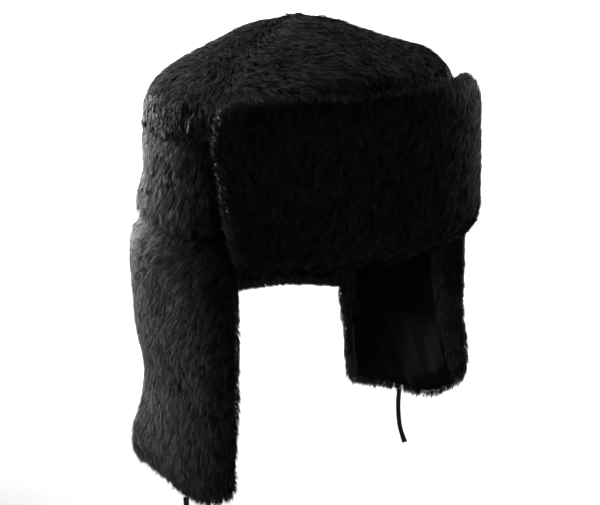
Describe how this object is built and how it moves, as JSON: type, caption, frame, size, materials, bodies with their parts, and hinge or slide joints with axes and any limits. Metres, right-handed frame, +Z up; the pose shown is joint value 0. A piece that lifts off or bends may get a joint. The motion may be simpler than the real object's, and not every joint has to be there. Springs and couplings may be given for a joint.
{
  "type": "winter hat",
  "caption": "Fur winter hat with a low domed crown, a visor turned up in front, a nape strip and two hanging ear flaps with ties.",
  "frame": {"origin": "middle of the rim, level with where the hat sits on the brow", "axes": "+Z up through the peak, -Y the way the wearer looks, +X the wearer's left"},
  "size_m": [0.2466, 0.2423, 0.3817],
  "materials": {
    "black_fur": "short dense fur pile",
    "black_lining": "smooth woven lining",
    "black_tape": "thin flat tape"
  },
  "bodies": {
    "root": {"crown_band": "black_fur", "crown_gore_front_right": "black_fur", "crown_gore_front_left": "black_fur", "crown_gore_back_left": "black_fur", "crown_gore_back_right": "black_fur", "front_visor": "black_fur", "ear_flap_right": "black_fur", "ear_flap_left": "black_fur", "nape_flap": "black_fur", "ear_lining_right": "black_lining", "ear_lining_left": "black_lining", "tie_right": "black_tape", "tie_left": "black_tape"}
  },
  "joints": []
}
